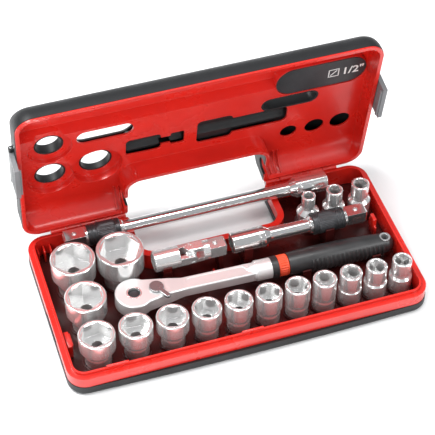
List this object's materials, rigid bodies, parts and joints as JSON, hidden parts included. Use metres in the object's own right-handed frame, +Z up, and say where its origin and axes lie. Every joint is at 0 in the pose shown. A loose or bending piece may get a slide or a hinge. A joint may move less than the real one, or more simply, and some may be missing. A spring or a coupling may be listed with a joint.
{
  "type": "socket wrench set",
  "caption": "Half-inch drive socket wrench set in a hinged two-shell case: ratchet, hexagon sockets, two extension bars and a universal joint.",
  "frame": {"origin": "middle of the case's flat underside", "axes": "+X along the case to the right, +Y towards the hinge at the back, +Z up"},
  "size_m": [0.3422, 0.206, 0.195],
  "materials": {
    "red_plastic": "glossy moulded",
    "black_plastic": "fine textured",
    "bed_plastic": "satin",
    "label": "printed label",
    "grey_plastic": "satin",
    "grip_rubber": "soft matt",
    "orange_plastic": "satin",
    "dark_steel": "knurled dark",
    "pin_steel": "plain",
    "lever_steel": "satin",
    "chrome": "polished"
  },
  "bodies": {
    "case": {"base_shell": "black_plastic", "base_tray": "red_plastic", "socket_bed": "bed_plastic", "hinge_pins": "pin_steel"},
    "lid": {"lid_cover": "black_plastic", "lid_liner": "red_plastic", "lid_label": "label", "latch_pins": "pin_steel"},
    "latch_left": {"latch_left": "grey_plastic"},
    "latch_right": {"latch_right": "grey_plastic"},
    "ratchet": {"ratchet_body": "chrome", "ratchet_ring": "grip_rubber", "ratchet_collar": "orange_plastic", "ratchet_grip": "grip_rubber", "hang_ring": "pin_steel"},
    "ratchet_drive": {"ratchet_gear": "chrome", "ratchet_ball": "chrome"},
    "ratchet_selector": {"ratchet_lever": "lever_steel", "ratchet_pawl": "pin_steel"},
    "long_bar": {"long_extension": "chrome", "long_spring": "pin_steel", "long_ball": "chrome"},
    "long_sleeve": {"long_sleeve": "dark_steel"},
    "short_bar": {"short_extension": "chrome", "short_spring": "pin_steel", "short_ball": "chrome"},
    "short_sleeve": {"short_sleeve": "dark_steel"},
    "uj_socket_end": {"uj_socket_fork": "chrome"},
    "uj_cross": {"uj_block": "chrome", "uj_pins": "chrome"},
    "uj_drive_end": {"uj_drive_fork": "chrome", "uj_ball": "chrome"},
    "socket_08": {"socket_08": "chrome"},
    "socket_10": {"socket_10": "chrome"},
    "socket_11": {"socket_11": "chrome"},
    "socket_12": {"socket_12": "chrome"},
    "socket_13": {"socket_13": "chrome"},
    "socket_14": {"socket_14": "chrome"},
    "socket_15": {"socket_15": "chrome"},
    "socket_16": {"socket_16": "chrome"},
    "socket_17": {"socket_17": "chrome"},
    "socket_18": {"socket_18": "chrome"},
    "socket_19": {"socket_19": "chrome"},
    "socket_21": {"socket_21": "chrome"},
    "socket_22": {"socket_22": "chrome"},
    "socket_24": {"socket_24": "chrome"},
    "socket_27": {"socket_27": "chrome"},
    "socket_30": {"socket_30": "chrome"},
    "socket_32": {"socket_32": "chrome"}
  },
  "joints": [
    {"name": "lid_hinge", "type": "hinge", "parent": "case", "child": "lid", "pos_m": [0, 0.0882, 0.02165], "axis": [-1, 0, 0], "range_deg": [-80, 0]},
    {"name": "latch_left_pivot", "type": "hinge", "parent": "lid", "child": "latch_left", "pos_m": [-0.169, 0.08175, 0.1253], "axis": [0, 0.1736, -0.9848], "range_deg": [0, 60]},
    {"name": "latch_right_pivot", "type": "hinge", "parent": "lid", "child": "latch_right", "pos_m": [0.169, 0.08175, 0.1253], "axis": [0, -0.1736, 0.9848], "range_deg": [0, 60]},
    {"name": "socket_08_lift", "type": "slide", "parent": "case", "child": "socket_08", "axis": [0, 0, 1], "range_m": [0, 0.06]},
    {"name": "socket_10_lift", "type": "slide", "parent": "case", "child": "socket_10", "axis": [0, 0, 1], "range_m": [0, 0.06]},
    {"name": "socket_11_lift", "type": "slide", "parent": "case", "child": "socket_11", "axis": [0, 0, 1], "range_m": [0, 0.06]},
    {"name": "socket_12_lift", "type": "slide", "parent": "case", "child": "socket_12", "axis": [0, 0, 1], "range_m": [0, 0.06]},
    {"name": "socket_13_lift", "type": "slide", "parent": "case", "child": "socket_13", "axis": [0, 0, 1], "range_m": [0, 0.06]},
    {"name": "socket_14_lift", "type": "slide", "parent": "case", "child": "socket_14", "axis": [0, 0, 1], "range_m": [0, 0.06]},
    {"name": "socket_15_lift", "type": "slide", "parent": "case", "child": "socket_15", "axis": [0, 0, 1], "range_m": [0, 0.06]},
    {"name": "socket_16_lift", "type": "slide", "parent": "case", "child": "socket_16", "axis": [0, 0, 1], "range_m": [0, 0.06]},
    {"name": "socket_17_lift", "type": "slide", "parent": "case", "child": "socket_17", "axis": [0, 0, 1], "range_m": [0, 0.06]},
    {"name": "socket_18_lift", "type": "slide", "parent": "case", "child": "socket_18", "axis": [0, 0, 1], "range_m": [0, 0.06]},
    {"name": "socket_19_lift", "type": "slide", "parent": "case", "child": "socket_19", "axis": [0, 0, 1], "range_m": [0, 0.06]},
    {"name": "socket_21_lift", "type": "slide", "parent": "case", "child": "socket_21", "axis": [0, 0, 1], "range_m": [0, 0.06]},
    {"name": "socket_22_lift", "type": "slide", "parent": "case", "child": "socket_22", "axis": [0, 0, 1], "range_m": [0, 0.06]},
    {"name": "socket_24_lift", "type": "slide", "parent": "case", "child": "socket_24", "axis": [0, 0, 1], "range_m": [0, 0.06]},
    {"name": "socket_27_lift", "type": "slide", "parent": "case", "child": "socket_27", "axis": [0, 0, 1], "range_m": [0, 0.06]},
    {"name": "socket_30_lift", "type": "slide", "parent": "case", "child": "socket_30", "axis": [0, 0, 1], "range_m": [0, 0.06]},
    {"name": "socket_32_lift", "type": "slide", "parent": "case", "child": "socket_32", "axis": [0, 0, 1], "range_m": [0, 0.06]},
    {"name": "ratchet_lift", "type": "slide", "parent": "case", "child": "ratchet", "axis": [0, 0, 1], "range_m": [0, 0.06]},
    {"name": "long_bar_lift", "type": "slide", "parent": "case", "child": "long_bar", "axis": [0, 0, 1], "range_m": [0, 0.06]},
    {"name": "short_bar_lift", "type": "slide", "parent": "case", "child": "short_bar", "axis": [0, 0, 1], "range_m": [0, 0.06]},
    {"name": "uj_socket_end_lift", "type": "slide", "parent": "case", "child": "uj_socket_end", "axis": [0, 0, 1], "range_m": [0, 0.06]},
    {"name": "ratchet_drive_spin", "type": "hinge", "parent": "ratchet", "child": "ratchet_drive", "pos_m": [-0.0893, -0.013, 0.0242], "axis": [0.0349, 0, 0.9994], "continuous": true},
    {"name": "ratchet_selector_turn", "type": "hinge", "parent": "ratchet", "child": "ratchet_selector", "pos_m": [-0.06881, -0.013, 0.02348], "axis": [0.0349, 0, 0.9994], "range_deg": [-18, 18]},
    {"name": "long_sleeve_pull", "type": "slide", "parent": "long_bar", "child": "long_sleeve", "axis": [1, 0, 0], "range_m": [0, 0.003], "stiffness_N_per_m": 400, "springref_m": -0.002},
    {"name": "short_sleeve_pull", "type": "slide", "parent": "short_bar", "child": "short_sleeve", "axis": [-1, 0, 0], "range_m": [0, 0.003], "stiffness_N_per_m": 400, "springref_m": -0.002},
    {"name": "uj_tilt", "type": "hinge", "parent": "uj_socket_end", "child": "uj_cross", "pos_m": [-0.0275, 0.018, 0.029], "axis": [0, -1, 0], "range_deg": [0, 75]},
    {"name": "uj_swing", "type": "hinge", "parent": "uj_cross", "child": "uj_drive_end", "pos_m": [-0.0275, 0.018, 0.029], "axis": [0, 0, 1], "range_deg": [-30, 0]}
  ]
}
